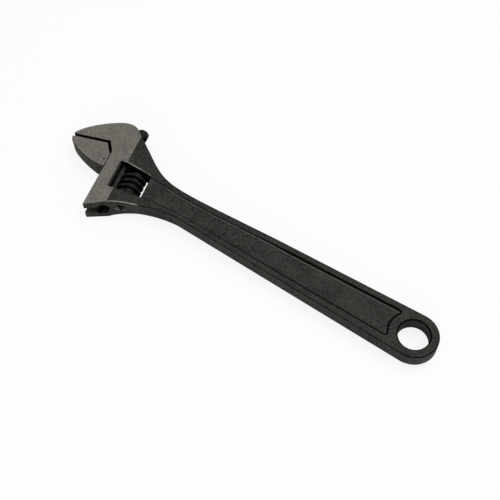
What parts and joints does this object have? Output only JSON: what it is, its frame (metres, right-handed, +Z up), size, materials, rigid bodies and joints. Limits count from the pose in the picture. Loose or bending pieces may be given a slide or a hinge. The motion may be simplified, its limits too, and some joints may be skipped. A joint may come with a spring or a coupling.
{
  "type": "adjustable wrench",
  "caption": "Adjustable open-end wrench with a tapered I-section handle, hanging hole, angled head and a worm-driven sliding jaw.",
  "frame": {"origin": "middle of the wrench's plan, on the surface it lies on", "axes": "+X along the handle to the jaws, +Y to the side the moving jaw opens to, +Z up through its thickness"},
  "size_m": [0.303, 0.0798, 0.0174],
  "materials": {
    "black_forging": "black phosphated forging with the head's faces ground bright",
    "ground_steel": "ground jaw faces, blackened sides and bar",
    "black_worm": "oiled black oxide, worn bright on the thread's crests",
    "black_pin": "black oxide",
    "spring_wire": "oiled dark wire"
  },
  "bodies": {
    "wrench_body": {"body": "black_forging", "worm_pin": "black_pin", "worm_spring": "spring_wire"},
    "jaw": {"movable_jaw": "ground_steel"},
    "worm": {"adjusting_worm": "black_worm"}
  },
  "joints": [
    {"name": "jaw_slide", "type": "slide", "parent": "wrench_body", "child": "jaw", "axis": [-0.2588, 0.9659, 0], "range_m": [-0.00195, 0.03295]},
    {"name": "worm_spin", "type": "hinge", "parent": "wrench_body", "child": "worm", "pos_m": [0.08768, 0.00621, 0.0087], "axis": [0.2588, -0.9659, 0], "range_deg": [-148, 2480]}
  ],
  "couplings": [
    {"joint": "worm_spin", "follows": "jaw_slide", "rad_per_m": 1309}
  ]
}
